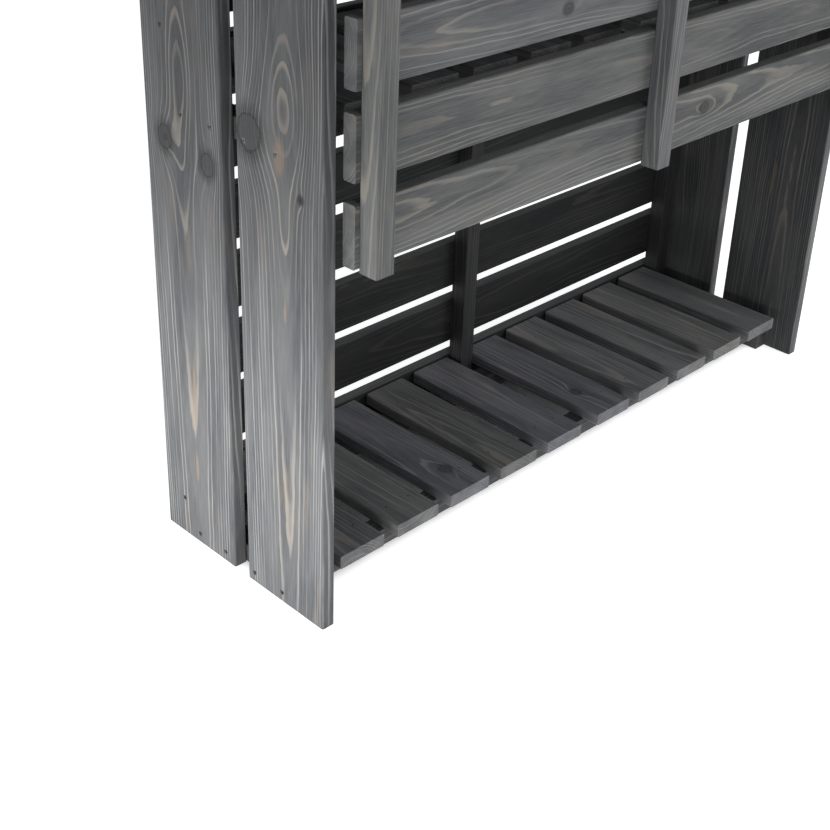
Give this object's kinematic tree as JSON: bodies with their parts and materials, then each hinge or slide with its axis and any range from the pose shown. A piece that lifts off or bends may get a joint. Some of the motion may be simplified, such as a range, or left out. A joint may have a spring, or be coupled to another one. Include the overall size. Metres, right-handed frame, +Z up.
{
  "type": "potting bench",
  "caption": "Potting bench of grey stained softwood with slatted shelves, a boarded worktop, a top shelf and a hinged front leaf that swings up to close the space above the worktop.",
  "frame": {"origin": "on the floor under the middle of the bench, with the leaf hanging", "axes": "+X along the bench to the viewer's right, +Y from the front to the slatted back, +Z up"},
  "size_m": [1.115, 0.368, 1.276],
  "materials": {
    "plank_wood": "grey translucent stain, flat-sawn grain",
    "board_wood": "grey translucent stain",
    "batten_wood": "grey translucent stain",
    "hinge_steel": "zinc plated",
    "screw_steel": "dull, dark"
  },
  "bodies": {
    "frame": {"left_front_plank": "plank_wood", "left_rear_plank": "plank_wood", "right_front_plank": "plank_wood", "right_rear_plank": "plank_wood", "left_upright": "batten_wood", "centre_upright": "batten_wood", "right_upright": "batten_wood", "back_board_01": "board_wood", "back_board_02": "board_wood", "back_board_03": "board_wood", "back_board_04": "board_wood", "back_board_05": "board_wood", "back_board_06": "board_wood", "back_board_07": "board_wood", "back_board_08": "board_wood", "back_board_09": "board_wood", "back_board_10": "board_wood", "back_board_11": "board_wood", "back_board_12": "board_wood", "back_board_13": "board_wood", "shelf_cleats": "batten_wood", "lower_front_rail": "batten_wood", "lower_rear_rail": "batten_wood", "lower_slat_01": "board_wood", "lower_slat_02": "board_wood", "lower_slat_03": "board_wood", "lower_slat_04": "board_wood", "lower_slat_05": "board_wood", "lower_slat_06": "board_wood", "lower_slat_07": "board_wood", "lower_slat_08": "board_wood", "lower_slat_09": "board_wood", "lower_slat_10": "board_wood", "middle_rails": "batten_wood", "middle_slats": "board_wood", "worktop_board_1": "board_wood", "worktop_board_2": "board_wood", "worktop_board_3": "board_wood", "worktop_front_rail": "batten_wood", "worktop_bearers": "batten_wood", "top_front_plank": "plank_wood", "top_rear_plank": "plank_wood", "top_bearers": "batten_wood", "hinge_frame_plates": "hinge_steel", "hinge_pins": "hinge_steel", "hinge_frame_screws": "screw_steel", "frame_screws": "screw_steel", "slat_nails": "screw_steel", "turn_button_screw": "screw_steel"},
    "leaf": {"leaf_board_1": "board_wood", "leaf_board_2": "board_wood", "leaf_board_3": "board_wood", "leaf_board_4": "board_wood", "leaf_left_batten": "batten_wood", "leaf_centre_batten": "batten_wood", "leaf_right_batten": "batten_wood", "hinge_leaf_plates": "hinge_steel", "hinge_leaf_screws": "screw_steel", "leaf_screws": "screw_steel"},
    "turn_button": {"turn_button": "batten_wood"}
  },
  "joints": [
    {"name": "leaf_hinge", "type": "hinge", "parent": "frame", "child": "leaf", "pos_m": [0, -0.1355, 0.868], "axis": [-1, 0, 0], "range_deg": [0, 180]},
    {"name": "turn_button_pivot", "type": "hinge", "parent": "frame", "child": "turn_button", "pos_m": [0, -0.138, 1.2665], "axis": [0, 1, 0], "range_deg": [0, 90]}
  ]
}
